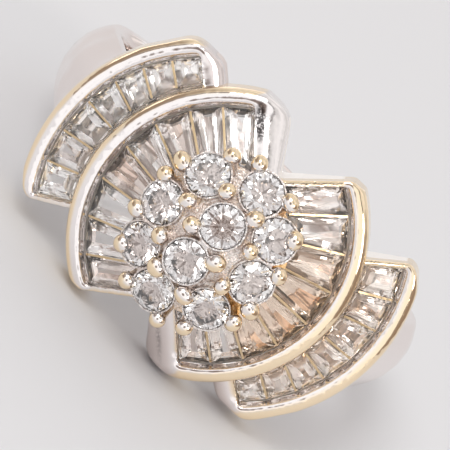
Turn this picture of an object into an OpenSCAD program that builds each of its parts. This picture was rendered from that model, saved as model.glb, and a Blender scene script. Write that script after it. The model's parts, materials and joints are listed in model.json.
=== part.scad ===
// Domed cluster ring with four swirled fans of tapered baguettes.
// Worked out upright: X across the head, Y along the finger, Z up through the head, origin in the
// middle of the finger hole. Every node is then laid on its side, as the ring rests by itself.

/* [Shank] */
// Diameter of the finger hole
finger_d = 17.3; // [15:0.1:21]
// Metal thickness of the shank at its crown
shank_t = 1.6; // [1.3:0.1:2]
// Width of the shank opposite the head
shank_bottom_w = 2.7; // [2.2:0.1:3.2]
// Width of the shank under the head
shank_top_w = 4.6; // [4:0.1:5]
// How much lower the shank's edges are than its crown
crown_drop = 0.6; // [0.3:0.1:0.8]

/* [Inner fans] */
// Outer radius of an inner fan's rim
inner_rim_r = 6.9; // [6.8:0.02:7]
// Height of an inner fan's rim above the finger's axis
inner_rim_z = 10.5; // [10.4:0.05:10.7]
// Half the width of the two inner fans, across the swirl
inner_half_w = 5.9; // [5.85:0.05:6]

/* [Outer fans] */
// Outer radius of an outer fan's rim
outer_rim_r = 8.2; // [8.1:0.02:8.3]
// Height of an outer fan's rim above the finger's axis
outer_rim_z = 9; // [8.9:0.05:9.1]

/* [Channels] */
// Width of a rim, from its outer edge to the stones
rim_w = 0.85; // [0.7:0.05:0.9]
// Depth of the stones' girdles under the rim
stone_drop = 0.45; // [0.35:0.05:0.5]
// Fall of the stones towards the rim, in degrees
fan_slope = 25; // [22:1:27]

/* [Stones] */
// Diameter of a round stone
round_d = 1.9; // [1.7:0.05:1.95]
// Crown height of a baguette
baguette_crown = 0.2; // [0.15:0.01:0.25]
// Depth of a baguette under its girdle
baguette_pavilion = 0.62; // [0.5:0.02:0.66]
// Clearance between a stone and what holds it
stone_gap = 0.03; // [0.02:0.01:0.04]

/* [Cluster] */
// Lean of the whole cluster towards the left fans, in degrees
cluster_lean = 5; // [0:1:7]
// Diameter of a claw's bead
bead_d = 0.8; // [0.7:0.05:0.85]
// Diameter of a claw's wire
claw_d = 0.52; // [0.45:0.02:0.6]

/* [Hidden] */
$fn = 64;

// Fan edges between stones, thin end first. Columns: angle about the rim's centre, heading outwards
inner_edges = [
    [241, 221], [228.5, 219], [212.4, 207], [195.5, 192.5], [179, 177.5],
    [163.8, 162.5], [148.6, 148], [135, 139.5], [121.8, 135]
];
outer_edges = [
    [213.8, 216], [202, 206], [190, 195], [177, 180], [165.5, 166], [155, 154], [144.8, 147], [135, 143]
];

// Corners of each fan's outline beyond its rim circle. Columns: x, y, corner radius
inner_corners = [
    [0.55, 0, 0], [0.4, 3.29, 0], [-1.42, inner_half_w, 1.1], [-8, inner_half_w, 0],
    [-8, -inner_half_w, 0], [-2.55, -inner_half_w, 0.35], [0.2, -3.5, 0]
];
outer_corners = [
    [0, 0, 0], [-3.9, 4.4, 0], [-5, 5.28, 0.4], [-6.64, 5.28, 1.1], [-9.54, 0.98, 0],
    [-9.54, -4.86, 0], [-6.85, -4.86, 0.4], [-5, -3.5, 0]
];

// Each fan. Columns: rim centre, rim radius, rim height, foot height, centre and radius that its
// stones reach in to, depth of metal inside that radius, edges, outline corners
inner_c = [0.55, -0.1];
outer_c = [-0.67, -0.4];
inner_stone_in = 3.5;
inner_foot_z = 8.75;
outer_foot_z = 7.2;
inner_fan = [
    inner_c, inner_rim_r, inner_rim_z, inner_foot_z, inner_c, inner_stone_in, 0.3, inner_edges, inner_corners
];
outer_fan = [
    outer_c, outer_rim_r, outer_rim_z, outer_foot_z, inner_c, inner_rim_r + 0.04, 0.4, outer_edges, outer_corners
];

// Fans as they are named. Columns: name, fan, turn about the middle of the head
fans = [
    ["left_inner", inner_fan, 0], ["right_inner", inner_fan, 180],
    ["left_outer", outer_fan, 0], ["right_outer", outer_fan, 180]
];

// Round stones of one half, the other half is a half turn away.
// Columns: distance out, angle, girdle height, tilt, depth of the collet under the girdle
rounds = [
    [1.08, 88, 14.05, 9, 1.75], [3.14, 86.5, 13.1, 23, 1.15], [2.86, 134, 13.15, 22, 1.15],
    [2.92, 47, 13.15, 22, 1.15], [2.55, 3.6, 13.25, 21, 1.15]
];

// Claws of one half. Columns: distance out, angle, height of the bead's middle, length of the wire
claws = [
    [0.95, 167, 14.15, 1.9], [1.95, 157, 13.8, 1.75], [1.95, 35.5, 13.8, 1.75], [2.4, 112, 13.7, 1.75],
    [2.35, 71, 13.7, 1.75], [3.6, 152.5, 13, 1.35], [3.4, 167, 13.05, 1.35], [3.8, 119, 12.95, 1.4],
    [4, 101.5, 12.85, 1.4], [3.9, 70.5, 12.9, 1.4], [3.7, 46.5, 12.95, 1.4], [3.35, 20, 13.1, 1.4]
];
claw_tilt_per_mm = 8;

bore_r = finger_d / 2;
crown_r = bore_r + shank_t;
// Height over which the shank widens, from its foot to the head
shank_rise = 18.5;
// Height at which the round band ends and the shoulders carry on
band_top = 6;
fan_rise = tan(fan_slope);
// The channel's inner wall stands back from the stones' ends, which are straight while it is round
inner_wall_gap = 0.04;
// Seat plate: how far it lies under the stones, its thickness, and the rim of a stone's window in it
seat_depth = baguette_pavilion + 0.1;
seat_t = 0.28;
window_margin = 0.3;
// Height of the point about which the cluster leans
cluster_z = 11;

// Cluster plate with the skirt that joins it to the fans' inner walls. Columns: radius, height
plate = [
    [0, 12.6], [0, 12.2], [2.4, 11.9], [2.4, 10.9], [2.8, 10.9], [2.8, 11.85], [3.4, 11.78], [3.4, 12.02]
];

// Collet walls, out from the stone's axis and at their top under the girdle
collet_out = 0.88;
collet_in = 0.5;
collet_top = -0.05;

// Light hole under a round stone, from a depth under its girdle up into the stone's room
light_hole_z = -2.5;
light_hole_h = 2.2;

// A shoulder leaves the shank at an angle over the middle of the hole, straight along its tangent,
// and starts a little inside the shank's crown
shoulder_angle = 12;
shoulder_h = 5.6;
shoulder_in = 0.12;
// Web between shoulder and fans, seen along the finger. Columns: x, z
web = [[7.9, 5], [7.9, 7.45], [6.4, 8.3], [5.6, 9.2], [4, 9.2], [4, 7.2], [6.6, 5]];

// Half the shank's width at a height above the finger's axis
function half_w(z) =
    shank_bottom_w / 2 + (shank_top_w - shank_bottom_w) / 2 * (z + crown_r) / shank_rise;

// Radius of the arc that crowns the shank, and the crown's height at a distance from its middle
crown_arc = (crown_drop * crown_drop + pow(shank_top_w / 2, 2)) / (2 * crown_drop);
function crown_at(y) = crown_r - crown_arc + sqrt(crown_arc * crown_arc - y * y);

// The ring rests on the foot of both inner fans and on the lower edge of the shank
rest_y = shank_bottom_w / 2;
lean = atan2(inner_half_w - rest_y, inner_foot_z + crown_at(rest_y));

function ray(a) = [cos(a), sin(a)];
function unit(v) = v / norm(v);
function cross_2d(a, b) = a[0] * b[1] - a[1] * b[0];

// Where the line from p along d first meets the circle of centre c and radius r
function meets(p, d, c, r) =
    let (q = p - c, b = q * d) p + d * (-b - sqrt(b * b - q * q + r * r));

// A convex outline, corners counterclockwise, drawn in by a distance
function drawn_in(pts, by) = [
    for (i = [0:len(pts) - 1])
        let (
            a = pts[(i + len(pts) - 1) % len(pts)], b = pts[i], c = pts[(i + 1) % len(pts)],
            u = unit(b - a), v = unit(c - b),
            p = b + by * [-u[1], u[0]], q = b + by * [-v[1], v[0]]
        )
        abs(cross_2d(u, v)) < 0.001 ? p : p + u * cross_2d(q - p, v) / cross_2d(u, v)
];

// An outline whose corners are rounded with the radius in their third column
corner_steps = 8;
function rounded(pts) = [
    for (i = [0:len(pts) - 1])
        let (
            b = [pts[i][0], pts[i][1]], r = pts[i][2],
            before = pts[(i + len(pts) - 1) % len(pts)], after = pts[(i + 1) % len(pts)],
            u = unit([before[0], before[1]] - b), v = unit([after[0], after[1]] - b),
            half = acos(u * v) / 2, middle = unit(u + v) * (r == 0 ? 0 : r / sin(half)),
            start = atan2(-middle[1], -middle[0]), side = cross_2d(u, v) > 0 ? -1 : 1
        )
        each r == 0 ? [b] : [
            for (k = [-corner_steps:2:corner_steps])
                b + middle + r * ray(start + side * (90 - half) * k / corner_steps)
        ]
];

// What a fan's row holds, by name
function rim_c(fan) = fan[0];
function rim_r(fan) = fan[1];
function rim_z(fan) = fan[2];
function foot_z(fan) = fan[3];
function in_c(fan) = fan[4];
function in_r(fan) = fan[5];
function in_wall(fan) = fan[6];
function edges(fan) = fan[7];
function corners(fan) = fan[8];
function stone_r(fan) = rim_r(fan) - rim_w;
function girdle_z(fan) = rim_z(fan) - stone_drop;

// Both ends of the edge line between two stones
function edge_out(fan, i) = rim_c(fan) + stone_r(fan) * ray(edges(fan)[i][0]);
function edge_in(fan, i) =
    meets(edge_out(fan, i), -ray(edges(fan)[i][1]), in_c(fan), in_r(fan));

// Plan of stone i of a fan, counterclockwise from above
function stone_plan(fan, i) = drawn_in(
    [edge_out(fan, i), edge_in(fan, i), edge_in(fan, i + 1), edge_out(fan, i + 1)], stone_gap / 2
);

// Height of the girdle's plane of stone i at point p
function plane_z(fan, i, p) =
    let (
        out = (edge_out(fan, i) + edge_out(fan, i + 1)) / 2,
        in = (edge_in(fan, i) + edge_in(fan, i + 1)) / 2
    )
    girdle_z(fan) + fan_rise * ((out - p) * unit((out + in) / 2 - rim_c(fan)));

// Steps of a baguette's cut. Columns: drawn in by, height over the girdle's plane
girdle_t = 0.05;
step_cut = [
    [0.5, -baguette_pavilion], [0.3, -0.42], [0.1, -0.16], [0, -girdle_t], [0, 0],
    [0.11, 0.12], [0.26, baguette_crown]
];

// A stone cut in steps: rings of four points, closed by the table and the culet
module baguette(fan, i) {
    plan = stone_plan(fan, i);
    rings = [
        for (step = step_cut)
            for (p = drawn_in(plan, step[0])) [p[0], p[1], plane_z(fan, i, p) + step[1]]
    ];
    last = 4 * (len(step_cut) - 1);
    sides = [
        for (k = [0:4:last - 4])
            for (j = [0:3]) each let (m = (j + 1) % 4) [
                [k + j, k + 4 + j, k + 4 + m],
                [k + j, k + 4 + m, k + m]
            ]
    ];
    color("#e9ebee")
        polyhedron(
            points = rings,
            faces = concat([[0, 1, 2], [0, 2, 3]], sides, [[last + 2, last + 1, last], [last + 3, last + 2, last]])
        );
}

// Proportions of a round brilliant, as shares of its diameter
table_share = 0.57;
crown_share = 0.15;
pavilion_share = 0.43;
star_share = 0.79;
lower_share = 0.22;
round_r = round_d / 2;
crown_h = round_d * crown_share;
pavilion_h = round_d * pavilion_share;

// A round brilliant about its own axis, its girdle at height 0
module brilliant() {
    table_r = round_r * table_share;
    star_r = round_r * star_share;
    lower_r = round_r * lower_share;
    half_girdle = girdle_t / 2;
    star_z = half_girdle + crown_h * (round_r - star_r * cos(22.5)) / (round_r - table_r);
    lower_z = -half_girdle - pavilion_h * (1 - lower_r * cos(22.5) / round_r);
    points = concat(
        [for (k = [0:7]) [table_r * cos(45 * k), table_r * sin(45 * k), half_girdle + crown_h]],
        [for (k = [0:7]) [star_r * cos(45 * k + 22.5), star_r * sin(45 * k + 22.5), star_z]],
        [for (k = [0:15]) [round_r * cos(22.5 * k), round_r * sin(22.5 * k), half_girdle]],
        [for (k = [0:15]) [round_r * cos(22.5 * k), round_r * sin(22.5 * k), -half_girdle]],
        [for (k = [0:7]) [lower_r * cos(45 * k + 22.5), lower_r * sin(45 * k + 22.5), lower_z]],
        [[0, 0, -half_girdle - pavilion_h]]
    );
    star = 8;
    upper = 16;
    under = 32;
    lower = 48;
    culet = 56;
    faces = concat(
        [for (k = [1:6]) [0, k + 1, k]],
        [for (k = [0:7]) each let (n = (k + 1) % 8, before = (k + 7) % 8, g = 2 * k) [
            [k, n, star + k],
            [k, star + k, upper + g],
            [k, upper + g, star + before],
            [star + k, upper + g + 1, upper + g],
            [star + k, upper + (g + 2) % 16, upper + g + 1],
            [lower + k, under + g, under + g + 1],
            [lower + k, under + g + 1, under + (g + 2) % 16],
            [culet, under + g, lower + k],
            [culet, lower + before, under + g]
        ]],
        [for (k = [0:15]) each let (n = (k + 1) % 16) [
            [upper + k, upper + n, under + n],
            [upper + k, under + n, under + k]
        ]]
    );
    polyhedron(points = points, faces = faces);
}

// Puts what follows at a distance out and an angle on the cluster, tipped outwards
module on_dome(out, angle, z, tilt) {
    translate([0, 0, cluster_z])
        rotate([0, -cluster_lean, 0])
            translate([out * cos(angle), out * sin(angle), z - cluster_z])
                rotate([0, 0, angle])
                    rotate([0, tilt, 0])
                        children();
}

// Places something at round stone i, counted from 0 over both halves
module at_round(i) {
    row = rounds[i % len(rounds)];
    on_dome(row[0], row[1] + (i < len(rounds) ? 0 : 180), row[2], row[3]) children();
}

module round_stone(i) {
    color("#f2f4f6") at_round(i) brilliant();
}

// Lays the upright ring on its side
module lying() {
    rotate([90 - lean, 0, 0]) children();
}

// Plan of a fan's metal, from its rim to the wall inside its stones
module fan_plan(fan) {
    difference() {
        intersection() {
            translate(rim_c(fan)) circle(r = rim_r(fan));
            polygon(rounded(corners(fan)));
        }
        translate(in_c(fan)) circle(r = in_r(fan) - in_wall(fan));
    }
}

// Plan of the channel that holds a fan's stones
module channel_plan(fan) {
    last = len(edges(fan)) - 1;
    reach = 2;
    wall_gap = stone_gap / 2;
    // the two end walls stand a little off the first and the last stone
    shift = [for (i = [0:last]) i == 0 ? wall_gap : i == last ? -wall_gap : 0];
    out_pts = [
        for (i = [0:last])
            edge_out(fan, i) + reach * ray(edges(fan)[i][1]) + shift[i] * ray(edges(fan)[i][1] + 90)
    ];
    in_pts = [
        for (i = [0:last])
            edge_in(fan, i) - reach * ray(edges(fan)[i][1]) + shift[i] * ray(edges(fan)[i][1] + 90)
    ];
    intersection() {
        difference() {
            translate(rim_c(fan)) circle(r = stone_r(fan) + stone_gap);
            translate(in_c(fan)) circle(r = in_r(fan) - stone_gap - inner_wall_gap);
        }
        polygon(concat(out_pts, [for (i = [last:-1:0]) in_pts[i]]));
    }
}

// Rim, end walls and inner wall of a fan. Their tops rise inwards with the stones
fan_h = 5;
module fan_walls(fan) {
    z0 = foot_z(fan);
    z1 = rim_z(fan);
    flat_r = stone_r(fan) + 0.1;
    top_r = 0.5;
    intersection() {
        translate([0, 0, z0])
            linear_extrude(height = fan_h)
                difference() {
                    fan_plan(fan);
                    channel_plan(fan);
                }
        translate(rim_c(fan))
            rotate_extrude()
                polygon([
                    [0, z0 - 1], [rim_r(fan) + 1, z0 - 1], [rim_r(fan) + 1, z1], [flat_r, z1],
                    [top_r, z1 + (flat_r - top_r) * fan_rise], [0, z1 + (flat_r - top_r) * fan_rise]
                ]);
    }
}

// Plate under a fan's stones, with a window under each stone
module fan_seat(fan) {
    r0 = 1;
    r1 = rim_r(fan) - 0.3;
    top = girdle_z(fan) - seat_depth;
    lift = 0.05;
    intersection() {
        translate([0, 0, foot_z(fan) + lift])
            linear_extrude(height = fan_h)
                difference() {
                    seat_plan(fan);
                    for (i = [0:len(edges(fan)) - 2]) polygon(drawn_in(stone_plan(fan, i), window_margin));
                }
        translate(rim_c(fan))
            rotate_extrude()
                polygon([
                    [r0, top + (stone_r(fan) - r0) * fan_rise],
                    [r0, top - seat_t + (stone_r(fan) - r0) * fan_rise],
                    [r1, top - seat_t + (stone_r(fan) - r1) * fan_rise],
                    [r1, top + (stone_r(fan) - r1) * fan_rise]
                ]);
    }
}

// Plan of the seat plate, which ends inside the walls on every side
module seat_plan(fan) {
    last = len(edges(fan)) - 1;
    reach_out = 0.25;
    reach_in = 0.15;
    polygon(concat(
        [for (i = [0:last]) edge_out(fan, i) + reach_out * ray(edges(fan)[i][1])],
        [for (i = [last:-1:0]) edge_in(fan, i) - reach_in * ray(edges(fan)[i][1])]
    ));
}

// Section through the band, crowned outside. It reaches a little into the finger hole
module shank_section() {
    intersection() {
        translate([bore_r - 0.3, -shank_top_w]) square([shank_t + 1, 2 * shank_top_w]);
        translate([crown_r - crown_arc, 0]) circle(r = crown_arc);
    }
}

// Both flanks of the shank, from its foot to the webs
module shank_taper() {
    z0 = -crown_r - 1;
    z1 = crown_r;
    rotate([90, 0, 90])
        linear_extrude(height = 4 * crown_r, center = true)
            polygon([[-half_w(z0), z0], [half_w(z0), z0], [half_w(z1), z1], [-half_w(z1), z1]]);
}

// Tapered band, its two shoulders and their webs
module shank() {
    intersection() {
        union() {
            intersection() {
                rotate([90, 0, 0]) rotate_extrude($fn = 120) shank_section();
                translate([0, 0, band_top - 2 * crown_r]) cube(4 * crown_r, center = true);
            }
            for (turn = [0, 180])
                rotate([0, 0, turn]) {
                    rotate([0, -shoulder_angle, 0])
                        translate([-shoulder_in, 0, 0])
                            linear_extrude(height = shoulder_h) shank_section();
                    rotate([90, 0, 0])
                        linear_extrude(height = 2 * shank_top_w, center = true)
                            polygon(web);
                }
        }
        shank_taper();
    }
}

// Domed plate that carries the collets and claws
module cluster_plate() {
    translate([0, 0, cluster_z])
        rotate([0, -cluster_lean, 0])
            translate([0, 0, -cluster_z])
                rotate_extrude() polygon(plate);
}

module collet(i) {
    at_round(i)
        translate([0, 0, -rounds[i % len(rounds)][4]])
            cylinder(r = collet_out, h = rounds[i % len(rounds)][4] + collet_top);
}

module claw(row, turn) {
    on_dome(row[0], row[1] + turn, row[2], row[0] * claw_tilt_per_mm) {
        translate([0, 0, -row[3]]) cylinder(d = claw_d, h = row[3]);
        sphere(d = bead_d);
    }
}

// Room for a round stone in its collet and claws, and the light hole under it
module stone_room(i) {
    r = round_r + stone_gap;
    g = girdle_t / 2 + stone_gap;
    at_round(i) {
        rotate_extrude()
            polygon([
                [0, -g - pavilion_h], [r, -g], [r, g],
                [round_r * table_share + stone_gap, g + crown_h], [0, g + crown_h]
            ]);
        translate([0, 0, light_hole_z]) cylinder(r = collet_in, h = light_hole_h);
    }
}

// All the soldered gold, one solid with the finger hole bored through it
module ring_metal() {
    color("#d9d3c8")
        difference() {
            union() {
                shank();
                for (fan = fans)
                    rotate([0, 0, fan[2]]) {
                        fan_walls(fan[1]);
                        fan_seat(fan[1]);
                    }
                cluster_plate();
                for (i = [0:2 * len(rounds) - 1]) collet(i);
                for (turn = [0, 180]) for (row = claws) claw(row, turn);
            }
            rotate([90, 0, 0]) cylinder(r = bore_r, h = 30, center = true);
            for (i = [0:2 * len(rounds) - 1]) stone_room(i);
        }
}

lying() {
    ring_metal();
    for (fan = fans)
        for (i = [1:len(edges(fan[1])) - 1])
            rotate([0, 0, fan[2]]) baguette(fan[1], i - 1);
    for (i = [1:2 * len(rounds)])
        round_stone(i - 1);
}
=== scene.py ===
import json
import math
import random
import bmesh
import bpy
from mathutils import Matrix, Vector


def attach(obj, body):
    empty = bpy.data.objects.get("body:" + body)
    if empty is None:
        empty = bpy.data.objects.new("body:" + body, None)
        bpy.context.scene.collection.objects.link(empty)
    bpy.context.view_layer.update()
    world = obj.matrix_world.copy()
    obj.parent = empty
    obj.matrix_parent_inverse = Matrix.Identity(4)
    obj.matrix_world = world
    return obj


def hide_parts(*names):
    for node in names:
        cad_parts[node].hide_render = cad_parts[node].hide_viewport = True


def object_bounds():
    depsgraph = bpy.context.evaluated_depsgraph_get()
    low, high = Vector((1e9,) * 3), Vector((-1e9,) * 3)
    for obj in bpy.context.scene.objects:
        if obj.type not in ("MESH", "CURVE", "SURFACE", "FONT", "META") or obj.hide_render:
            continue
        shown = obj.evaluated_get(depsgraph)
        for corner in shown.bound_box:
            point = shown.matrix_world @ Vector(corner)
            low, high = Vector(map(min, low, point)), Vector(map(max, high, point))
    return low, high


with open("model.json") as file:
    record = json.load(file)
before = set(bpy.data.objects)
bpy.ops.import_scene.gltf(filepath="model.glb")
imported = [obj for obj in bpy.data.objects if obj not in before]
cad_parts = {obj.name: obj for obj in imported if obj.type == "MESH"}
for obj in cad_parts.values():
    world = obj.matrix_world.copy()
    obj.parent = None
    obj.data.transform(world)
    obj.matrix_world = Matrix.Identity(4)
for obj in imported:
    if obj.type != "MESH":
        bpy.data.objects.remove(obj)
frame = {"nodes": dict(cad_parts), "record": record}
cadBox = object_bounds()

dice = random.Random(7)

# Pieces are modelled upright in millimetres: X across the head, Y along the finger, Z up through
# the head. The finger hole's mount says how the ring lies on its side, and toFrame lays it there.
fingerHole = frame["record"]["mounts"][0]
fingerAxis = Vector(fingerHole["axis"])
fingerRadius = fingerHole["dims"]["r_mm"]
lyingAngle = math.atan2(fingerAxis.z, fingerAxis.y)
toFrame = Matrix.Rotation(lyingAngle, 4, "X") @ Matrix.Scale(0.001, 4)
headUp = (toFrame.to_3x3() @ Vector((0, 0, 1))).normalized()
halfTurn = Matrix.Rotation(math.pi, 4, "Z")
print("frame loaded, the ring lies at", round(math.degrees(lyingAngle), 2), "degrees")


# Modelling steps that several pieces share

def ray(degrees):
    return Vector((math.cos(math.radians(degrees)), math.sin(math.radians(degrees)), 0))


def share(value):
    return max(0, min(1, value))


def selectOnly(piece):
    bpy.ops.object.select_all(action="DESELECT")
    bpy.context.view_layer.objects.active = piece
    piece.select_set(True)


def named(name):
    piece = bpy.context.active_object
    piece.name = name
    piece.data.name = name
    return piece


def openPiece(piece):
    selectOnly(piece)
    bpy.ops.object.mode_set(mode="EDIT")
    bpy.ops.mesh.select_mode(type="FACE")
    bpy.ops.mesh.select_all(action="DESELECT")


def closePiece():
    bpy.ops.object.mode_set(mode="OBJECT")


def pickFaces(piece, test):
    mesh = bmesh.from_edit_mesh(piece.data)
    for face in mesh.faces:
        face.select_set(test(face.calc_center_median(), face.normal))
    mesh.select_flush_mode()
    bmesh.update_edit_mesh(piece.data)


def useModifier(piece, kind, **values):
    selectOnly(piece)
    modifier = piece.modifiers.new(kind.lower(), kind)
    for name, value in values.items():
        setattr(modifier, name, value)
    bpy.ops.object.modifier_apply(modifier=modifier.name)


def cutAway(piece, tool):
    useModifier(piece, "BOOLEAN", object=tool, operation="DIFFERENCE", solver="EXACT")
    bpy.data.objects.remove(tool)


def fuse(piece, other):
    useModifier(piece, "BOOLEAN", object=other, operation="UNION", solver="EXACT")
    bpy.data.objects.remove(other)


def copyOf(piece, name, turned):
    copy = piece.copy()
    copy.data = piece.data.copy()
    copy.name = name
    copy.data.name = name
    bpy.context.collection.objects.link(copy)
    copy.data.transform(turned)
    return copy


def joined(pieces, name):
    selectOnly(pieces[0])
    for piece in pieces:
        piece.select_set(True)
    bpy.ops.object.join()
    return named(name)


def settle(piece):
    # an object's place goes into its mesh
    selectOnly(piece)
    bpy.ops.object.transform_apply(location=True, rotation=True, scale=True)


def pointOutwards():
    bpy.ops.mesh.select_all(action="SELECT")
    bpy.ops.mesh.normals_make_consistent(inside=False)


def lathe(name, profile, middle=(0, 0), steps=64):
    # a closed outline of (radius, height) corners, spun about an upright axis
    bpy.ops.mesh.primitive_circle_add(vertices=len(profile), radius=1, fill_type="NOTHING")
    piece = named(name)
    for vert, (radius, height) in zip(piece.data.vertices, profile):
        vert.co = (middle[0] + radius, middle[1], height)
    openPiece(piece)
    bpy.ops.mesh.select_all(action="SELECT")
    bpy.ops.mesh.spin(steps=steps, angle=2 * math.pi, center=(*middle, 0), axis=(0, 0, 1))
    bpy.ops.mesh.select_all(action="SELECT")
    bpy.ops.mesh.remove_doubles(threshold=0.0005)
    pointOutwards()
    closePiece()
    return piece


def trimBy(piece, point, outward):
    # cuts off what lies beyond a plane and closes the cut
    openPiece(piece)
    bpy.ops.mesh.select_all(action="SELECT")
    bpy.ops.mesh.bisect(
        plane_co=point, plane_no=Vector(outward).normalized(), use_fill=True, clear_outer=True,
        threshold=0.00001
    )
    closePiece()


def softenEdges(piece, width):
    useModifier(
        piece, "BEVEL", width=width, segments=2, limit_method="ANGLE",
        angle_limit=math.radians(38), use_clamp_overlap=True, miter_outer="MITER_ARC"
    )


def castSkin(piece, voxel, passes):
    # an even skin whose edges are all rounded, as on a casting
    useModifier(piece, "REMESH", mode="VOXEL", voxel_size=voxel)
    useModifier(piece, "SMOOTH", factor=0.5, iterations=passes)


def softenWhere(piece, weightAt, passes):
    soft = piece.vertex_groups.new(name="soft")
    for vert in piece.data.vertices:
        soft.add([vert.index], share(weightAt(vert.co)), "REPLACE")
    useModifier(piece, "SMOOTH", factor=0.5, iterations=passes, vertex_group="soft")
    piece.vertex_groups.clear()


def mark(piece, label, valueAt):
    # a value on each vertex for the material to read
    layer = piece.data.attributes.new(label, "FLOAT", "POINT")
    for vert in piece.data.vertices:
        layer.data[vert.index].value = share(valueAt(vert.co))


def finishMetal(piece, material):
    selectOnly(piece)
    bpy.ops.object.shade_smooth_by_angle(angle=math.radians(32))
    useModifier(piece, "WEIGHTED_NORMAL", keep_sharp=True, weight=60)
    piece.matrix_world = toFrame
    settle(piece)
    piece.data.materials.clear()
    piece.data.materials.append(material)
    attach(piece, "root")
    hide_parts("ring_metal")


# Camera, at the photograph's angle to the head
shot = {
    "aim": (0, 0, 10.5), "aimPixel": (216, 236.5), "tilt": 9.5, "turn": -2.2, "roll": 45,
    "distance": 220, "pixelsPerMm": 23.25, "frame": 450, "sensor": 36
}


def setCamera():
    tilt, turn, roll = (math.radians(shot[key]) for key in ("tilt", "turn", "roll"))
    back = Vector((math.sin(turn), math.sin(tilt) * math.cos(turn), math.cos(tilt) * math.cos(turn)))
    along = (Vector((0, 1, 0)) - back * back.y).normalized()
    across = along.cross(back)
    right = across * math.cos(roll) + along * math.sin(roll)
    up = along * math.cos(roll) - across * math.sin(roll)
    turned = toFrame.to_3x3().normalized() @ Matrix((right, up, back)).transposed()
    eye = toFrame @ (Vector(shot["aim"]) + back * shot["distance"])
    lens = bpy.data.cameras.new("camera")
    lens.sensor_width = shot["sensor"]
    lens.lens = shot["sensor"] * shot["distance"] * shot["pixelsPerMm"] / shot["frame"]
    lens.shift_x = (shot["frame"] / 2 - shot["aimPixel"][0]) / shot["frame"]
    lens.shift_y = (shot["aimPixel"][1] - shot["frame"] / 2) / shot["frame"]
    lens.clip_start = 0.01
    camera = bpy.data.objects.new("camera", lens)
    camera.matrix_world = Matrix.Translation(eye) @ turned.to_4x4()
    bpy.context.collection.objects.link(camera)
    bpy.context.scene.camera = camera


setCamera()
print("camera set")


# Nodes of the materials

def addNode(tree, kind, inputs=(), **settings):
    node = tree.nodes.new(kind)
    for key, value in settings.items():
        setattr(node, key, value)
    for key, value in dict(inputs).items():
        if isinstance(value, bpy.types.NodeSocket):
            tree.links.new(value, node.inputs[key])
        else:
            node.inputs[key].default_value = value
    return node


def mathOf(tree, operation, *values):
    return addNode(tree, "ShaderNodeMath", enumerate(values), operation=operation).outputs[0]


def vectorOf(tree, operation, *values):
    keys = (0, "Scale") if operation == "SCALE" else (0, 1)
    node = addNode(tree, "ShaderNodeVectorMath", zip(keys, values), operation=operation)
    return node.outputs["Value" if operation in ("DOT_PRODUCT", "LENGTH") else "Vector"]


def rangeOf(tree, value, low, high):
    return addNode(tree, "ShaderNodeMapRange", {
        "Value": value, "From Min": low, "From Max": high
    }, interpolation_type="SMOOTHSTEP").outputs[0]


def mixOf(tree, portion, a, b):
    return addNode(tree, "ShaderNodeMix", {0: portion, 6: a, 7: b}, data_type="RGBA").outputs[2]


def noiseOf(tree, vector, size, detail):
    return addNode(tree, "ShaderNodeTexNoise", {
        "Vector": vector, "Scale": mathOf(tree, "DIVIDE", 1, size), "Detail": detail
    }).outputs[0]


def axisOf(tree, vector, axis):
    return addNode(tree, "ShaderNodeSeparateXYZ", {0: vector}).outputs[axis]


def markOf(tree, label):
    return addNode(tree, "ShaderNodeAttribute", attribute_name=label).outputs["Fac"]


def normalOf(tree):
    return addNode(tree, "ShaderNodeNewGeometry").outputs["Normal"]


def inMillimetres(tree):
    metres = addNode(tree, "ShaderNodeTexCoord").outputs["Object"]
    return vectorOf(tree, "SCALE", metres, 1000)


def outFromHead(tree, spot):
    # what is left of a place without its height along the head
    return vectorOf(tree, "SUBTRACT", spot, vectorOf(tree, "PROJECT", spot, headUp))


def makeGroup(name, given, made):
    tree = bpy.data.node_groups.new(name, "ShaderNodeTree")
    for label, value in given.items():
        kind = "NodeSocketColor" if isinstance(value, tuple) else "NodeSocketFloat"
        tree.interface.new_socket(label, in_out="INPUT", socket_type=kind).default_value = value
    for label, kind in made.items():
        tree.interface.new_socket(label, in_out="OUTPUT", socket_type="NodeSocket" + kind)
    return tree, tree.nodes.new("NodeGroupInput").outputs, tree.nodes.new("NodeGroupOutput").inputs


def makeMaterial(name, values):
    material = bpy.data.materials.new(name)
    material.use_nodes = True
    shader = material.node_tree.nodes["Principled BSDF"]
    for key, value in values.items():
        shader.inputs[key].default_value = value
    return material


def feed(material, outputs):
    # what a group puts out goes into the material's own shader
    shader = material.node_tree.nodes["Principled BSDF"]
    for key, output in outputs.items():
        material.node_tree.links.new(output, shader.inputs[key])


# Gold: plated white on top and within, yellow on its outer sides and more so towards +X, partly where
# the plating has worn off and partly as a painted warm reflection
plating = {
    # where the mix goes from gold, worn plating and painted warm reflection together, to whole white
    # plating, and how firmly the thick ends keep it white
    "platingAndPaintedLightRange": (-0.4, 0.4), "tipHold": 3,
    # the head turns more gold towards +X, partly worn and partly a painted warm reflection, between
    # these places across it
    "sideOfWearAndPaintedLight": (-3, 5),
    # warm gaps: how far under the glow's height they begin and are full, and where across the head
    "glowDepth": (-0.2, 0.4), "glowAcross": (0.6, 1.8),
    # what of the grain is speckled painted shade in a hollow, and what of it is rough
    "paintedShadeGrain": (0.3, 0.55), "roughGrain": (0.35, 0.7),
    # added roughness
    "seatRoughness": 0.35, "tipRoughness": 0.1
}


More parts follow.
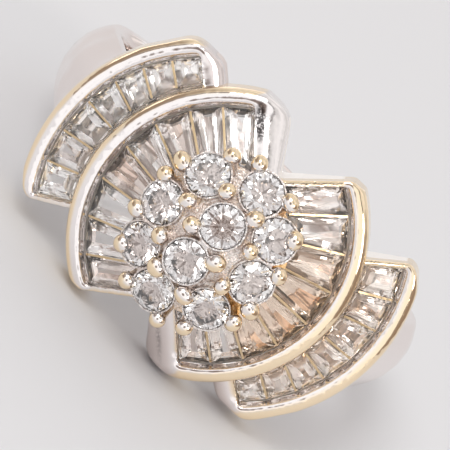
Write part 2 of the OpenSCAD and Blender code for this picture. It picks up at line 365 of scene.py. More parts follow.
def makeGoldWearAndPaintedLight():
    tree, given, made = makeGroup("goldWearAndPaintedLight", {
        "Plated": (0.9, 0.88, 0.86, 1), "Bare": (0.93, 0.7, 0.42, 1),
        "Painted Shade": (0.1, 0.09, 0.09, 1), "Glow": (1, 0.7, 0.38, 1), "Seat": (0.98, 0.95, 0.92, 1),
        "Shaded Tip": (0.74, 0.66, 0.64, 1), "Wear": 0.35, "Side Wear And Painted Light": 0, "Outer Share": 1.5,
        "Patches": 0.5, "Patch Size": 1.1, "Glow Height": -20, "Grain Size": 0.1,
        "Grain Depth": 0.02, "Low Roughness": 0.05, "High Roughness": 0.14
    }, {"Colour": "Color", "Roughness": "Float", "Height": "Float"})
    spot = inMillimetres(tree)
    normal, across = normalOf(tree), axisOf(tree, spot, 0)
    clouds = noiseOf(tree, spot, given["Patch Size"], 2)
    grain = noiseOf(tree, spot, given["Grain Size"], 3)
    # level faces keep their plating, faces that look outward lose it and turn gold, partly worn and
    # partly a painted warm reflection
    level = mathOf(tree, "ABSOLUTE", vectorOf(tree, "DOT_PRODUCT", normal, headUp))
    outward = vectorOf(tree, "NORMALIZE", outFromHead(tree, spot))
    outer = vectorOf(tree, "DOT_PRODUCT", normal, outward)
    platingAndPaintedLight = mathOf(tree, "SUBTRACT", level, mathOf(tree, "MULTIPLY", outer, given["Outer Share"]))
    patchy = mathOf(tree, "SUBTRACT", clouds, 0.5)
    platingAndPaintedLight = mathOf(tree, "MULTIPLY_ADD", patchy, given["Patches"], platingAndPaintedLight)
    side = rangeOf(tree, across, *plating["sideOfWearAndPaintedLight"])
    wearAndPaintedLight = mathOf(tree, "MULTIPLY_ADD", side, given["Side Wear And Painted Light"], given["Wear"])
    platingAndPaintedLight = mathOf(tree, "SUBTRACT", platingAndPaintedLight, wearAndPaintedLight)
    # a thick end that keeps its plating says so itself
    keeping = markOf(tree, "keeping")
    platingAndPaintedLight = mathOf(tree, "MULTIPLY_ADD", keeping, plating["tipHold"], platingAndPaintedLight)
    platingAndPaintedLightShare = rangeOf(tree, platingAndPaintedLight, *plating["platingAndPaintedLightRange"])
    colour = mixOf(tree, platingAndPaintedLightShare, given["Bare"], given["Plated"])
    # the seats under the stones are white and dull
    seated = markOf(tree, "seated")
    colour = mixOf(tree, seated, colour, given["Seat"])
    # painted shade: a duller, pinkish-grey tone on the thick ends that are marked so
    colour = mixOf(tree, markOf(tree, "shadedTip"), colour, given["Shaded Tip"])
    # gaps that look down into the gold glow warm in places
    height = vectorOf(tree, "DOT_PRODUCT", spot, headUp)
    under = rangeOf(
        tree, mathOf(tree, "SUBTRACT", given["Glow Height"], height), *plating["glowDepth"]
    )
    glow = mathOf(tree, "MULTIPLY", under, rangeOf(tree, across, *plating["glowAcross"]))
    colour = mixOf(tree, glow, colour, given["Glow"])
    # painted shade in a hollow, speckled by the grain
    grained = rangeOf(tree, grain, *plating["paintedShadeGrain"])
    paintedShadeShare = mathOf(tree, "MULTIPLY", markOf(tree, "paintedShade"), grained)
    tree.links.new(mixOf(tree, paintedShadeShare, colour, given["Painted Shade"]), made["Colour"])
    rough = addNode(tree, "ShaderNodeMapRange", {
        "Value": grain, "From Min": plating["roughGrain"][0], "From Max": plating["roughGrain"][1],
        "To Min": given["Low Roughness"], "To Max": given["High Roughness"]
    }).outputs[0]
    rough = mathOf(tree, "MULTIPLY_ADD", seated, plating["seatRoughness"], rough)
    rough = mathOf(tree, "MULTIPLY_ADD", keeping, plating["tipRoughness"], rough)
    tree.links.new(rough, made["Roughness"])
    relief = mathOf(tree, "MULTIPLY_ADD", grain, given["Grain Depth"], clouds)
    tree.links.new(relief, made["Height"])
    return tree


def makeGold(name, bump, values):
    material = makeMaterial(name, {"Metallic": 1})
    effect = addNode(material.node_tree, "ShaderNodeGroup", values, node_tree=goldWearAndPaintedLight)
    relief = addNode(material.node_tree, "ShaderNodeBump", {
        "Height": effect.outputs["Height"], "Distance": bump, "Strength": 1
    })
    feed(material, {
        "Base Color": effect.outputs["Colour"], "Roughness": effect.outputs["Roughness"],
        "Normal": relief.outputs[0]
    })
    return material


# Stones: none is quite even. They have faint veils, some are amber, and their narrow facets, cut by
# hand and each a little off true, run out from the head's middle
stoneCut = {
    # a facet's width is measured along a circle of this radius, and its length is drawn out
    "arcRadius": 5.5, "lengthShare": 0.08,
    # how cloudy a place is where a veil begins and where it is full
    "veils": (0.4, 0.6),
    # between these distances out the lower fans' stones begin, with this much less of a veil
    "lowerFans": (6.3, 6.9), "clearing": 0.75,
    # amber in the stones whose way out is towards +X, and how it fades further out
    "amberWay": (0.7, 0.9), "amberReach": (6, 7.2), "amberFade": 0.55,
    # a round stone's table looks straight out of the dome, whose slope grows by this for each mm
    "domeSlope": 0.14, "tableLevel": (0.93, 0.96)
}


def handCutNormal(tree, polar, outward, normal, size, tilt):
    cells = addNode(tree, "ShaderNodeTexVoronoi", {
        "Vector": polar, "Scale": mathOf(tree, "DIVIDE", 1, size)
    }).outputs["Color"]
    lean = mathOf(tree, "SUBTRACT", axisOf(tree, cells, 0), 0.5)
    aside = vectorOf(tree, "CROSS_PRODUCT", outward, headUp)
    tilted = vectorOf(tree, "SCALE", aside, mathOf(tree, "MULTIPLY", lean, tilt))
    return vectorOf(tree, "NORMALIZE", vectorOf(tree, "ADD", normal, tilted))


def makeStoneTint():
    tree, given, made = makeGroup("stoneTint", {
        "Clear": (0.99, 0.98, 0.97, 1), "Veil": (0.9, 0.85, 0.82, 1),
        "Amber": (0.98, 0.83, 0.66, 1), "Table Shade": (0.44, 0.33, 0.28, 1), "Amber Share": 0.9,
        "Veil Size": 1.2, "Facet Size": 0.35, "Facet Tilt": 0.3, "Table Shade Share": 0
    }, {"Colour": "Color", "Normal": "Vector"})
    flat = outFromHead(tree, inMillimetres(tree))
    outward, reach = vectorOf(tree, "NORMALIZE", flat), vectorOf(tree, "LENGTH", flat)
    normal = normalOf(tree)
    north = vectorOf(tree, "DOT_PRODUCT", flat, fingerAxis)
    angle = mathOf(tree, "ARCTAN2", north, axisOf(tree, flat, 0))
    polar = addNode(tree, "ShaderNodeCombineXYZ", {
        0: mathOf(tree, "MULTIPLY", angle, stoneCut["arcRadius"]),
        1: mathOf(tree, "MULTIPLY", reach, stoneCut["lengthShare"])
    }).outputs[0]
    facets = handCutNormal(tree, polar, outward, normal, given["Facet Size"], given["Facet Tilt"])
    tree.links.new(facets, made["Normal"])
    veil = rangeOf(tree, noiseOf(tree, polar, given["Veil Size"], 3), *stoneCut["veils"])
    lower = rangeOf(tree, reach, *stoneCut["lowerFans"])
    thinning = mathOf(tree, "MULTIPLY_ADD", lower, -stoneCut["clearing"], 1)
    veil = mathOf(tree, "MULTIPLY", veil, thinning)
    colour = mixOf(tree, veil, given["Clear"], given["Veil"])
    # amber is strongest in the middle of the right upper fan
    east = rangeOf(tree, axisOf(tree, outward, 0), *stoneCut["amberWay"])
    amber = mathOf(tree, "MULTIPLY", east, given["Amber Share"])
    far = rangeOf(tree, reach, *stoneCut["amberReach"])
    fading = mathOf(tree, "MULTIPLY_ADD", far, -stoneCut["amberFade"], 1)
    colour = mixOf(tree, mathOf(tree, "MULTIPLY", amber, fading), colour, given["Amber"])
    # painted shade: the table is made the darkest of a round stone's facets
    lifted = vectorOf(tree, "ADD", vectorOf(tree, "SCALE", flat, stoneCut["domeSlope"]), headUp)
    level = vectorOf(tree, "DOT_PRODUCT", normal, vectorOf(tree, "NORMALIZE", lifted))
    tableShade = mathOf(
        tree, "MULTIPLY", rangeOf(tree, level, *stoneCut["tableLevel"]), given["Table Shade Share"]
    )
    tree.links.new(mixOf(tree, tableShade, colour, given["Table Shade"]), made["Colour"])
    return tree


def makeGem(name, ior, roughness, clear, values):
    material = makeMaterial(name, {
        "Roughness": roughness, "IOR": ior, "Transmission Weight": clear
    })
    effect = addNode(material.node_tree, "ShaderNodeGroup", values, node_tree=stoneTint)
    feed(material, {"Base Color": effect.outputs["Colour"], "Normal": effect.outputs["Normal"]})
    return material


goldWearAndPaintedLight = makeGoldWearAndPaintedLight()
stoneTint = makeStoneTint()
# the rims turn gold on their outer sides and towards +X: partly worn plating, partly a painted warm
# reflection
railGold = makeGold("railGold", 0.00006, {
    "Plated": (0.91, 0.87, 0.86, 1), "Bare": (0.97, 0.8, 0.57, 1), "Wear": 0.15,
    "Side Wear And Painted Light": 0.85, "Patches": 0.4
})
# the shank's large pale and pinkish-brown patches are painted reflections, and it turns darker
# towards +X as painted shade
bandGold = makeGold("bandGold", 0.00006, {
    "Plated": (0.97, 0.95, 0.94, 1), "Bare": (0.84, 0.75, 0.71, 1), "Wear": 0.4,
    "Side Wear And Painted Light": 0.6, "Outer Share": 0, "Patches": 2.5, "Patch Size": 3,
    "Low Roughness": 0.06, "High Roughness": 0.16
})
castGold = makeGold("castGold", 0.00008, {
    "Plated": (0.82, 0.78, 0.76, 1), "Bare": (0.74, 0.65, 0.6, 1), "Wear": 0.5,
    "Grain Size": 0.14, "Grain Depth": 1.2, "Low Roughness": 0.1, "High Roughness": 0.4,
    "Glow Height": 12.9
})
beadGold = makeGold("beadGold", 0.00005, {
    "Plated": (0.93, 0.88, 0.85, 1), "Bare": (0.95, 0.78, 0.55, 1), "Wear": 0.65,
    "Patches": 2.6, "Patch Size": 1.3
})
seamGold = makeGold("seamGold", 0.00002, {
    "Plated": (0.82, 0.75, 0.66, 1), "Bare": (0.68, 0.52, 0.32, 1), "Wear": 0.85,
    "Patches": 2, "Patch Size": 0.7, "High Roughness": 0.3
})
baguetteGem = makeGem("baguetteGem", 1.5, 0.04, 0.95, {
    "Clear": (1, 0.99, 0.98, 1), "Veil": (0.92, 0.82, 0.76, 1), "Amber": (1, 0.82, 0.66, 1),
    "Facet Tilt": 0.34
})
# its tables take a painted shade
roundGem = makeGem("roundGem", 2.4, 0.0, 0.97, {
    "Clear": (0.98, 0.97, 0.97, 1), "Veil": (0.93, 0.88, 0.87, 1), "Veil Size": 0.9,
    "Amber Share": 0.1, "Facet Tilt": 0.02, "Table Shade Share": 0.9
})
for name, node in frame["nodes"].items():
    if name.startswith("baguette"):
        node.material_slots[0].material = baguetteGem
    if name.startswith("round_stone"):
        node.material_slots[0].material = roundGem
print("materials made")


# Trays: rim, end walls, seat plate and inner wall of a fan of baguettes
traySizes = {
    # the seat falls towards the rim, in degrees, and holds the stones this far under the rim
    "slope": 25, "stoneDrop": 0.45, "stoneGap": 0.03, "seatDepth": 0.72, "seatThick": 0.28,
    "rimWidth": 0.85, "rimLedge": 0.1, "rimFlare": 0.2, "rimRound": 0.42, "rimSteps": 6,
    "turnSteps": 160, "cornerSteps": 8, "overcut": 0.4,
    # the stones reach in to a cylinder about this middle, which the tool for it stands over
    "core": (0.55, -0.1), "coreGap": 0.04, "coreMiddle": 9, "coreTall": 20,
    # windows under the stones: metal left at both ends together, share of the stone's width
    "windowEnds": 0.7, "windowShare": 0.45, "windowTall": 8,
    # cast skin, and the rim's polish: smoothing passes, how far down, blend
    "voxel": 0.07, "passes": 5, "rimPasses": 22, "rimSoft": 0.6, "rimBlend": 0.2,
    # the thick end's pillow: its ridge is this far from the last stone, and falls to both sides
    "ridge": 0.4, "innerFall": 0.6, "outerFall": 0.4, "pillowDepth": 0.9, "pillowBlend": 0.1,
    "innerBlend": 0.3,
    # the pillow's polish: smoothing passes, blend beyond the last stone, how far down, blend there
    "tipPasses": 70, "tipBlend": 0.4, "tipSoft": 1, "tipFade": 0.5,
    # how soon beyond the last stone the plating is kept, and how soon and how strongly the thick end
    # takes its painted shade
    "keepBlend": 0.9, "shadedTipBlend": 0.5, "shadedTipShare": 0.8,
    # white seats: this far under the stones' tops, past the rim's inner side, blend
    "seatUnder": 0.2, "seatPast": 0.15, "seatBlend": 0.1,
    # painted shade: place along the last stone and away from it, half length, half width, strength
    "hollow": (0.45, 0.28, 0.95, 0.27, 3), "crease": (1.1, 0.8, 1.5, 0.16, 0.6),
    "paintedShadeDepth": 0.8
}
innerFan = {
    "middle": (0.55, -0.1), "rimRadius": 6.9, "rimHeight": 10.5, "footHeight": 8.75,
    "startRadius": 2.6, "stonesFrom": 3.5, "innerWall": 0.3, "tip": (-0.5, 4.9), "tipReach": 2.6,
    # angle about the rim's middle and heading of each edge between stones, thin end first
    "edges": [
        (241, 221), (228.5, 219), (212.4, 207), (195.5, 192.5), (179, 177.5), (163.8, 162.5),
        (148.6, 148), (135, 139.5), (121.8, 135)
    ],
    # corners of the outline: x, y, radius
    "corners": [
        (0.55, 0, 0), (0.45, 3.33, 0), (-1.37, 5.95, 1.1), (-8, 5.95, 0), (-8, -5.9, 0),
        (-2.55, -5.9, 0.35), (0.2, -3.5, 0)
    ]
}
outerFan = {
    "middle": (-0.67, -0.4), "rimRadius": 8.2, "rimHeight": 9, "footHeight": 7.2,
    "startRadius": 4.5, "stonesFrom": 6.94, "innerWall": 0.4, "tip": (-5.9, 5), "tipReach": 1.8,
    "edges": [
        (213.8, 216), (202, 206), (190, 195), (177, 180), (165.5, 166), (155, 154), (144.8, 147),
        (135, 143)
    ],
    "corners": [
        (0, 0, 0), (-3.86, 4.45, 0), (-4.96, 5.32, 0.7), (-6.64, 5.32, 1.1), (-9.54, 0.98, 0),
        (-9.54, -2.4, 0), (-7.3, -4.86, 0.8), (-6.85, -4.86, 0.15)
    ]
}
rise = math.tan(math.radians(traySizes["slope"]))


def stoneRadius(fan):
    return fan["rimRadius"] - traySizes["rimWidth"]


def edgeOut(fan, i):
    return Vector((*fan["middle"], 0)) + ray(fan["edges"][i][0]) * stoneRadius(fan)


def edgeIn(fan, i):
    # where the edge line meets the cylinder that the stones reach in to
    start, way = edgeOut(fan, i), -ray(fan["edges"][i][1])
    gap = start - Vector((*traySizes["core"], 0))
    along = gap.dot(way)
    return start + way * (-along - math.sqrt(along ** 2 - gap.dot(gap) + fan["stonesFrom"] ** 2))


def coreTool(radius):
    middle = (*traySizes["core"], traySizes["coreMiddle"])
    bpy.ops.mesh.primitive_cylinder_add(
        vertices=128, radius=radius, depth=traySizes["coreTall"], location=middle
    )
    core = named("core")
    settle(core)
    return core


def boreTool():
    # longer than any piece that it cuts
    bpy.ops.mesh.primitive_cylinder_add(
        vertices=256, radius=fingerRadius, depth=30, rotation=(math.pi / 2, 0, 0)
    )
    bore = named("bore")
    settle(bore)
    return bore


def channelTool(name, fan, foot, wall, top):
    # the room over or under the seat plate, between the end stones: heights of its foot at the
    # start and by the rim, corners up its outer wall, height of its top at the start
    r, gap = stoneRadius(fan), traySizes["stoneGap"]
    start = fan["startRadius"] - traySizes["overcut"]
    corners = [(r + out, height) for out, height in wall]
    tool = lathe(
        name, [(start, foot[0]), (r + gap, foot[1]), *corners, (start, top)],
        fan["middle"], traySizes["turnSteps"]
    )
    last = len(fan["edges"]) - 1
    for i, side in ((0, 90), (last, -90)):
        outward = ray(fan["edges"][i][1] + side)
        trimBy(tool, edgeOut(fan, i) + outward * gap / 2, outward)
    cutAway(tool, coreTool(fan["stonesFrom"] - gap - traySizes["coreGap"]))
    return tool


def trimCorner(piece, corner, behind, ahead):
    # planes that touch the round corner's arc one after the other
    at = Vector(corner[:2])
    before, after = (at - Vector(behind[:2])).normalized(), (Vector(ahead[:2]) - at).normalized()
    turn = before.angle(after)
    middle = at + (after - before).normalized() * corner[2] / math.cos(turn / 2)
    first = math.atan2(-before.x, before.y)
    for step in range(1, traySizes["cornerSteps"]):
        outward = first + turn * step / traySizes["cornerSteps"]
        outward = Vector((math.cos(outward), math.sin(outward)))
        trimBy(piece, (*(middle + outward * corner[2]), 0), (*outward, 0))


def turnBlank(name, fan):
    # turned on the lathe with a round rim, then trimmed to the fan's outline
    rim, foot, start = fan["rimHeight"], fan["footHeight"], fan["startRadius"]
    ledge, crown = stoneRadius(fan) + traySizes["rimLedge"], traySizes["rimRound"]
    turns = [math.pi / 2 * step / traySizes["rimSteps"] for step in range(traySizes["rimSteps"] + 1)]
    arc = [(fan["rimRadius"] - crown + crown * math.cos(turn), rim - crown + crown * math.sin(turn))
           for turn in turns]
    blank = lathe(
        name, [(start, foot), (fan["rimRadius"], foot), *arc, (ledge, rim),
               (start, rim + (ledge - start) * rise)], fan["middle"], traySizes["turnSteps"]
    )
    corners = fan["corners"]
    for i, corner in enumerate(corners):
        x, y, radius = corner
        behind, ahead = corners[i - 1], corners[(i + 1) % len(corners)]
        trimBy(blank, (x, y, 0), (ahead[1] - y, x - ahead[0], 0))
        if radius > 0:
            trimCorner(blank, corner, behind, ahead)
    cutAway(blank, coreTool(fan["stonesFrom"] - fan["innerWall"]))
    return blank


def cutRooms(tray, fan):
    # room for the stones, and under the plate that they sit on; both tools run out beyond the tray
    rim, gap, plate = fan["rimHeight"], traySizes["stoneGap"], traySizes["seatThick"]
    above, below = rim + 4, fan["footHeight"] - 2
    drop, flare = traySizes["stoneDrop"], traySizes["rimFlare"]
    seat = rim - drop - traySizes["seatDepth"]
    seatStart = seat + (stoneRadius(fan) - fan["startRadius"] + traySizes["overcut"]) * rise
    cutAway(tray, channelTool(
        "room", fan, (seatStart, seat - gap * rise),
        [(gap, rim - drop), (flare, rim + 0.02), (flare, rim + 1)], above
    ))
    cutAway(tray, channelTool(
        "under", fan, (below, below), [(gap, seat - plate - gap * rise)], seatStart - plate
    ))


def makeWindows(fan):
    windows = []
    for i in range(len(fan["edges"]) - 1):
        outer = (edgeOut(fan, i) + edgeOut(fan, i + 1)) / 2
        inner = (edgeIn(fan, i) + edgeIn(fan, i + 1)) / 2
        outerWidth = (edgeOut(fan, i) - edgeOut(fan, i + 1)).length
        innerWidth = (edgeIn(fan, i) - edgeIn(fan, i + 1)).length
        across, way = (outerWidth + innerWidth) / 2, outer - inner
        bpy.ops.mesh.primitive_cube_add(
            size=1, location=(outer + inner) / 2 + Vector((0, 0, fan["rimHeight"]))
        )
        window = named("window")
        window.scale = (
            way.length - traySizes["windowEnds"], across * traySizes["windowShare"],
            traySizes["windowTall"]
        )
        window.rotation_euler.z = math.atan2(way.y, way.x)
        settle(window)
        windows.append(window)
    return joined(windows, "windows")


def lastStone(fan):
    # outer corner of the last stone's free side, and the way out from that side
    return edgeOut(fan, len(fan["edges"]) - 1).xy, ray(fan["edges"][-1][1] - 90).xy


def polishTray(tray, fan):
    rim, r, middle = fan["rimHeight"], stoneRadius(fan), Vector(fan["middle"])
    wall, outward = lastStone(fan)
    tip, reach = Vector(fan["tip"]), fan["tipReach"]

    def onRim(at):
        up, out = at.z - rim + traySizes["rimSoft"], (at.xy - middle).length - r
        return min(up, out) / traySizes["rimBlend"]

    def nearTip(at, blend):
        # full within reach of the tip and beyond the last stone
        beyond = (at.xy - wall).dot(outward) / blend
        return share(min(beyond, 3 - 2 * (at.xy - tip).length / reach))

    softenWhere(tray, onRim, traySizes["rimPasses"])
    # the thick end beyond the last stone is a pillow
    for vert in tray.data.vertices:
        fromRidge = (vert.co.xy - wall).dot(outward) - traySizes["ridge"]
        if fromRidge > 0:
            drop = traySizes["outerFall"] * fromRidge ** 2
        else:
            inside = share((r - (vert.co.xy - middle).length) / traySizes["innerBlend"])
            drop = -traySizes["innerFall"] * fromRidge * inside
        high = share(1 + (vert.co.z - rim) / traySizes["pillowDepth"])
        vert.co.z -= nearTip(vert.co, traySizes["pillowBlend"]) * drop * high
    softenWhere(tray, lambda at: min(
        nearTip(at, traySizes["tipBlend"]), (at.z - rim + traySizes["tipSoft"]) / traySizes["tipFade"]
    ), traySizes["tipPasses"])
    mark(tray, "keeping", lambda at: nearTip(at, traySizes["keepBlend"]))
    # painted shade on the thick end: a duller, pinkish-grey tone
    mark(tray, "shadedTip", lambda at: nearTip(at, traySizes["shadedTipBlend"]) * traySizes["shadedTipShare"])


def markSeats(tray, fan):
    # below the stones' tops and within the rim
    r, middle = stoneRadius(fan), Vector(fan["middle"])
    top = fan["rimHeight"] - traySizes["stoneDrop"]

    def seated(at):
        out = (at.xy - middle).length
        under = top + rise * (r - out) - traySizes["seatUnder"] - at.z
        return min(under, r + traySizes["seatPast"] - out) / traySizes["seatBlend"]

    mark(tray, "seated", seated)


def makeTray(name, fan):
    tray = turnBlank(name, fan)
    cutRooms(tray, fan)
    cutAway(tray, makeWindows(fan))
    cutAway(tray, boreTool())
    castSkin(tray, traySizes["voxel"], traySizes["passes"])
    polishTray(tray, fan)
    markSeats(tray, fan)
    return tray


def markPaintedShade(tray, fan, spot, side):
    # a painted shade on the pillow, beside the last stone; side is -1 on a tray turned by half a turn
    wall, outward = lastStone(fan)
    lengthwise = ray(fan["edges"][-1][1]).xy
    start, off, halfLong, halfWide, strength = spot
    lowest = fan["rimHeight"] - traySizes["paintedShadeDepth"]

    def depth(at):
        away = at.xy * side - wall
        along, across = -away.dot(lengthwise) - start, away.dot(outward) - off
        return strength * (1 - math.hypot(along / halfLong, across / halfWide))

    mark(tray, "paintedShade", lambda at: depth(at) if at.z > lowest else 0)


# Seams: thin gold fins in the grooves between neighbouring stones
seamSizes = {"width": 0.1, "height": 0.09, "endGap": 0.16, "bevel": 0.02}


def makeSeams(name, fan):
    seams, foot = [], traySizes["stoneGap"] / 2
    for i in range(1, len(fan["edges"]) - 1):
        ends = []
        for point in (edgeOut(fan, i), edgeIn(fan, i)):
            inward = stoneRadius(fan) - (point.xy - Vector(fan["middle"])).length
            height = fan["rimHeight"] - traySizes["stoneDrop"] + rise * inward
            ends.append(point + Vector((0, 0, height)))
        along = ends[1] - ends[0]
        bpy.ops.mesh.primitive_cube_add(size=1)
        seam = named("seam")
        for vert in seam.data.vertices:
            wide, high = (seamSizes["width"], seamSizes["height"]) if vert.co.z > 0 else (foot, 0)
            end = vert.co.x * (along.length - seamSizes["endGap"])
            vert.co = (end, math.copysign(wide / 2, vert.co.y), high)
        softenEdges(seam, seamSizes["bevel"])
        heading = along.to_track_quat("X", "Z").to_matrix().to_4x4()
        seam.data.transform(Matrix.Translation((ends[0] + ends[1]) / 2) @ heading)
        seams.append(seam)
    return joined(seams, name)


for kind, fan in (("Inner", innerFan), ("Outer", outerFan)):
    left = makeTray("tray" + kind + "Left", fan)
    right = copyOf(left, "tray" + kind + "Right", halfTurn)
    if kind == "Inner":
        # the left one's thick end stays bright, without the right one's painted shade, and each has
        # its own strip of painted shade
        left.data.attributes.remove(left.data.attributes["shadedTip"])
        markPaintedShade(left, fan, traySizes["hollow"], 1)
        markPaintedShade(right, fan, traySizes["crease"], -1)
    finishMetal(left, railGold)
    finishMetal(right, railGold)
    seams = makeSeams("seams" + kind, fan)
    seams = joined([seams, copyOf(seams, "seamsCopy", halfTurn)], "seams" + kind)
    finishMetal(seams, seamGold)
    print("trays made:", kind, len(left.data.polygons), "faces each")


# Shank with its shoulders
shankSizes = {
    "thickness": 1.6, "drop": 0.6, "topHalfWidth": 2.3, "footHalfWidth": 1.35, "rise": 18.5,
    "shoulderAngle": 12, "shoulderLength": 5.6, "shoulderSteps": 4, "sectionPoints": 40,
    "squareness": 0.55, "steps": 120
}


def halfWidth(height):
    crown = fingerRadius + shankSizes["thickness"]
    grow = (shankSizes["topHalfWidth"] - shankSizes["footHalfWidth"]) / shankSizes["rise"]
    return shankSizes["footHalfWidth"] + grow * (height + crown)


def signedPower(value, power):
    return math.copysign(abs(value) ** power, value)


def makeShank():
    # half a turn of a crowned section and both shoulders, one unit wide until the last step
    count, squareness = shankSizes["sectionPoints"], shankSizes["squareness"]
    lean = math.radians(shankSizes["shoulderAngle"])
    bpy.ops.mesh.primitive_circle_add(vertices=count, radius=1, fill_type="NGON")
    band = named("shankBand")
    tall = shankSizes["thickness"] / 2
    start = Matrix.Rotation(-lean, 4, "Y")
    for k, vert in enumerate(band.data.vertices):
        turn = 2 * math.pi * k / count
        out = signedPower(math.cos(turn), squareness)
        wide = signedPower(math.sin(turn), squareness)
        crown = shankSizes["drop"] * wide ** 2 * max(0, out)
        vert.co = start @ Vector((fingerRadius + tall + out * tall - crown, wide, 0))
    openPiece(band)
    bpy.ops.mesh.select_all(action="SELECT")
    bpy.ops.mesh.spin(
        steps=shankSizes["steps"], angle=math.pi + 2 * lean, center=(0, 0, 0), axis=(0, -1, 0)
    )
    pointOutwards()
    stride = shankSizes["shoulderLength"] / shankSizes["shoulderSteps"]
    for side in (1, -1):
        up = Vector((-side * math.sin(lean), 0, math.cos(lean)))
        for step in range(shankSizes["shoulderSteps"]):
            # the end face on this side
            pickFaces(band, lambda at, normal: normal.dot(up) > 0.99 and at.x * side > 3)
            bpy.ops.mesh.extrude_region_move(TRANSFORM_OT_translate={"value": up * stride})
    closePiece()
    for vert in band.data.vertices:
        vert.co.y *= halfWidth(vert.co.z)
    return band


# Webs between the shoulders and the fans: corners x, z as seen along the finger
webSizes = {
    "corners": [(7.9, 5), (7.9, 7.45), (6.4, 8.3), (5.6, 9.2), (4, 9.2), (4, 7.2), (6.6, 5)],
    "inset": 0.12, "bevel": 0.1
}


def makeWeb():
    corners = webSizes["corners"]
    bpy.ops.mesh.primitive_circle_add(vertices=len(corners), radius=1, fill_type="NGON")
    web = named("web")
    for vert, (x, z) in zip(web.data.vertices, corners):
        vert.co = (x, -1, z)
    openPiece(web)
    bpy.ops.mesh.select_all(action="SELECT")
    bpy.ops.mesh.extrude_region_move(TRANSFORM_OT_translate={"value": (0, 2, 0)})
    pointOutwards()
    closePiece()
    for vert in web.data.vertices:
        vert.co.y *= halfWidth(vert.co.z) - webSizes["inset"]
    cutAway(web, boreTool())
    softenEdges(web, webSizes["bevel"])
    return web


band = makeShank()
web = makeWeb()
webs = joined([web, copyOf(web, "webCopy", halfTurn)], "shoulderWebs")
finishMetal(band, bandGold)
finishMetal(webs, bandGold)
print("shank made", len(band.data.polygons), "faces")


# Dome: plate and cups of the cluster
domeSizes = {
    "leanMiddle": 11, "lean": 5, "voxel": 0.06, "passes": 2,
    "cupTop": 1.08, "cupFoot": 0.8, "cupLip": 0.05,
    # radius, height
    "plate": [
        (0.01, 12.6), (0.01, 12.2), (2.4, 11.9), (2.4, 10.9), (2.8, 10.9), (2.8, 11.85),
        (3.4, 11.78), (3.4, 12.02)
    ],
    "fill": [
        (0.01, 13.75), (0.8, 13.7), (1.5, 13.45), (2.1, 13.1), (2.3, 12.9), (2.4, 12), (0.01, 12.2)
    ],
    # room for a stone and the light hole under it: radius, height from the girdle
    "room": [(0.001, -2.5), (0.4, -2.5), (0.4, -0.55), (0.97, -0.04), (0.97, 1), (0.001, 1)],
    # distance out, angle, girdle height, tilt, depth of the cup
    "rounds": [
        (1.08, 88, 14.05, 9, 1.75), (3.14, 86.5, 13.1, 23, 1.15), (2.86, 134, 13.15, 22, 1.15),
        (2.92, 47, 13.15, 22, 1.15), (2.55, 3.6, 13.25, 21, 1.15)
    ]
}
leanBack = (
    Matrix.Translation((0, 0, domeSizes["leanMiddle"]))
    @ Matrix.Rotation(math.radians(-domeSizes["lean"]), 4, "Y")
    @ Matrix.Translation((0, 0, -domeSizes["leanMiddle"]))
)


def onDome(out, angle, height, tilt):
    return (
        leanBack @ Matrix.Translation(ray(angle) * out + Vector((0, 0, height)))
        @ Matrix.Rotation(math.radians(angle), 4, "Z") @ Matrix.Rotation(math.radians(tilt), 4, "Y")
    )


def makeCups():
    body = lathe("clusterCups", domeSizes["plate"])
    fuse(body, lathe("fill", domeSizes["fill"]))
    body.data.transform(leanBack)
    rooms, lip = [], domeSizes["cupLip"]
    for turn in (0, 180):
        for out, angle, height, tilt, depth in domeSizes["rounds"]:
            here = onDome(out, angle + turn, height, tilt)
            bpy.ops.mesh.primitive_cone_add(
                vertices=48, radius1=domeSizes["cupFoot"], radius2=domeSizes["cupTop"],
                depth=depth + lip, location=(0, 0, (lip - depth) / 2)
            )
            cup = named("cup")
            settle(cup)
            cup.data.transform(here)
            fuse(body, cup)
            room = lathe("room", domeSizes["room"], steps=48)
            room.data.transform(here)
            rooms.append(room)
    cutAway(body, joined(rooms, "rooms"))
    castSkin(body, domeSizes["voxel"], domeSizes["passes"])
    return body


# Claws: a bead on a wire, pushed over by hand, so no two are alike
clawSizes = {
    "beadRadius": 0.4, "wireFrom": 0.75, "tiltPerMm": 8,
    # ranges that each claw is drawn from
    "stretch": (1, 1.25), "size": (0.92, 1.02), "lean": (-8, 8),
    # distance out, angle, height of the bead's middle, length of the wire
    "claws": [
        (0.95, 167, 14.15, 1.9), (1.95, 157, 13.8, 1.75), (1.95, 35.5, 13.8, 1.75),
        (2.4, 112, 13.7, 1.75), (2.35, 71, 13.7, 1.75), (3.6, 152.5, 13, 1.35),
        (3.4, 167, 13.05, 1.35), (3.8, 119, 12.95, 1.4), (4, 101.5, 12.85, 1.4),
        (3.9, 70.5, 12.9, 1.4), (3.7, 46.5, 12.95, 1.4), (3.35, 20, 13.1, 1.4)
    ]
}


def makeClaw(wire):
    radius = clawSizes["beadRadius"]
    bpy.ops.mesh.primitive_uv_sphere_add(segments=24, ring_count=16, radius=radius)
    claw = named("claw")
    openPiece(claw)
    pickFaces(claw, lambda at, normal: at.z < -clawSizes["wireFrom"] * radius)
    bpy.ops.mesh.extrude_region_move(TRANSFORM_OT_translate={"value": (0, 0, -wire)})
    closePiece()
    return claw


def makeClaws():
    claws = []
    for turn in (0, 180):
        for out, angle, height, wire in clawSizes["claws"]:
            claw = makeClaw(wire)
            stretch = Matrix.Scale(dice.uniform(*clawSizes["stretch"]), 4, ray(dice.uniform(0, 180)))
            stretch = Matrix.Scale(dice.uniform(*clawSizes["size"]), 4) @ stretch
            tilt = out * clawSizes["tiltPerMm"] + dice.uniform(*clawSizes["lean"])
            claw.data.transform(onDome(out, angle + turn, height, tilt) @ stretch)
            claws.append(claw)
    return joined(claws, "claws")


cups = makeCups()
finishMetal(cups, castGold)
claws = makeClaws()
finishMetal(claws, beadGold)
print("cluster made", len(cups.data.polygons), len(claws.data.polygons))


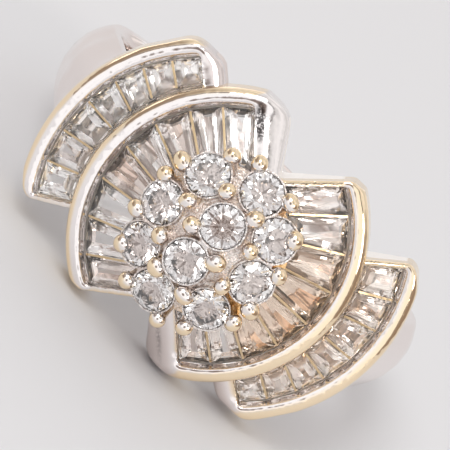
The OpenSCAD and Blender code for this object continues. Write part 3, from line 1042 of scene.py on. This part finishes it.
# Floor and light
studio = {
    "floorSize": 3, "floorColour": (0.71, 0.715, 0.735, 1), "floorRoughness": 0.6,
    # place, size, power, colour
    "keyLight": ((-0.22, -0.3, 0.5), 0.34, 1.3, (1, 0.99, 0.98)),
    "fillLight": ((0.45, -0.3, 0.3), 0.2, 0.6, (1, 0.95, 0.9)),
    # a pale tent with uneven cloth
    "tentStrength": 1.16, "clothScale": 3, "clothRange": (0.4, 0.6),
    "dimCloth": (0.62, 0.6, 0.59, 1), "brightCloth": (0.88, 0.86, 0.85, 1),
    # panels: direction, how near to it they begin and are full, colour; the head looks towards -Y
    "panels": [
        ((0, -1, 0), 0.42, 0.47, (0.1, 0.085, 0.08, 1)),
        ((0, -1, 0), 0.53, 0.6, (0.95, 0.94, 0.94, 1)),
        ((1, 0, 0), 0.65, 0.95, (0.28, 0.22, 0.19, 1)),
        ((-1, 0, 0), 0.6, 0.95, (0.28, 0.23, 0.21, 1))
    ],
    "openingNear": (0.96, 0.985), "openingColour": (0.22, 0.17, 0.15, 1),
    # a low strip of window behind, which runs along the shank as a streak
    "stripFoot": (0.02, 0.05), "stripTop": (0.16, 0.2), "stripWay": (-0.77, 0.64, 0),
    "stripNear": (0.82, 0.92), "stripColour": (1.5, 1.48, 1.46, 1)
}


def makeFloor():
    bpy.ops.mesh.primitive_plane_add(size=studio["floorSize"], location=(0, 0, cadBox[0][2]))
    floor = named("floor")
    settle(floor)
    floor.data.materials.append(makeMaterial("paleFloor", {
        "Base Color": studio["floorColour"], "Roughness": studio["floorRoughness"]
    }))


def makeLight(name):
    spot, size, power, colour = studio[name]
    lamp = bpy.data.lights.new(name, "AREA")
    lamp.shape = "DISK"
    lamp.size = size
    lamp.energy = power
    lamp.color = colour
    light = bpy.data.objects.new(name, lamp)
    light.location = spot
    light.rotation_euler = (-Vector(spot)).to_track_quat("-Z", "Y").to_euler()
    bpy.context.collection.objects.link(light)


def makeTent():
    world = bpy.data.worlds.new("tent")
    world.use_nodes = True
    bpy.context.scene.world = world
    tree = world.node_tree
    way = addNode(tree, "ShaderNodeTexCoord").outputs["Generated"]

    def towards(direction, low, high):
        return rangeOf(tree, vectorOf(tree, "DOT_PRODUCT", way, direction), low, high)

    cloth = addNode(tree, "ShaderNodeTexNoise", {
        "Vector": way, "Scale": studio["clothScale"], "Detail": 1
    }).outputs[0]
    cloth = rangeOf(tree, cloth, *studio["clothRange"])
    colour = mixOf(tree, cloth, studio["dimCloth"], studio["brightCloth"])
    for direction, low, high, panel in studio["panels"]:
        colour = mixOf(tree, towards(direction, low, high), colour, panel)
    # the opening that the photograph is taken through
    opening = bpy.context.scene.camera.matrix_world.translation.normalized()
    opening = towards(opening, *studio["openingNear"])
    colour = mixOf(tree, opening, colour, studio["openingColour"])
    height = axisOf(tree, way, 2)
    foot, top = (rangeOf(tree, height, *studio[key]) for key in ("stripFoot", "stripTop"))
    strip = mathOf(tree, "SUBTRACT", foot, top)
    strip = mathOf(tree, "MULTIPLY", strip, towards(studio["stripWay"], *studio["stripNear"]))
    colour = mixOf(tree, strip, colour, studio["stripColour"])
    tree.links.new(colour, tree.nodes["Background"].inputs["Color"])
    tree.nodes["Background"].inputs["Strength"].default_value = studio["tentStrength"]


makeFloor()
makeTent()
makeLight("keyLight")
makeLight("fillLight")
bpy.context.scene.view_settings.view_transform = "Standard"
print("light set")
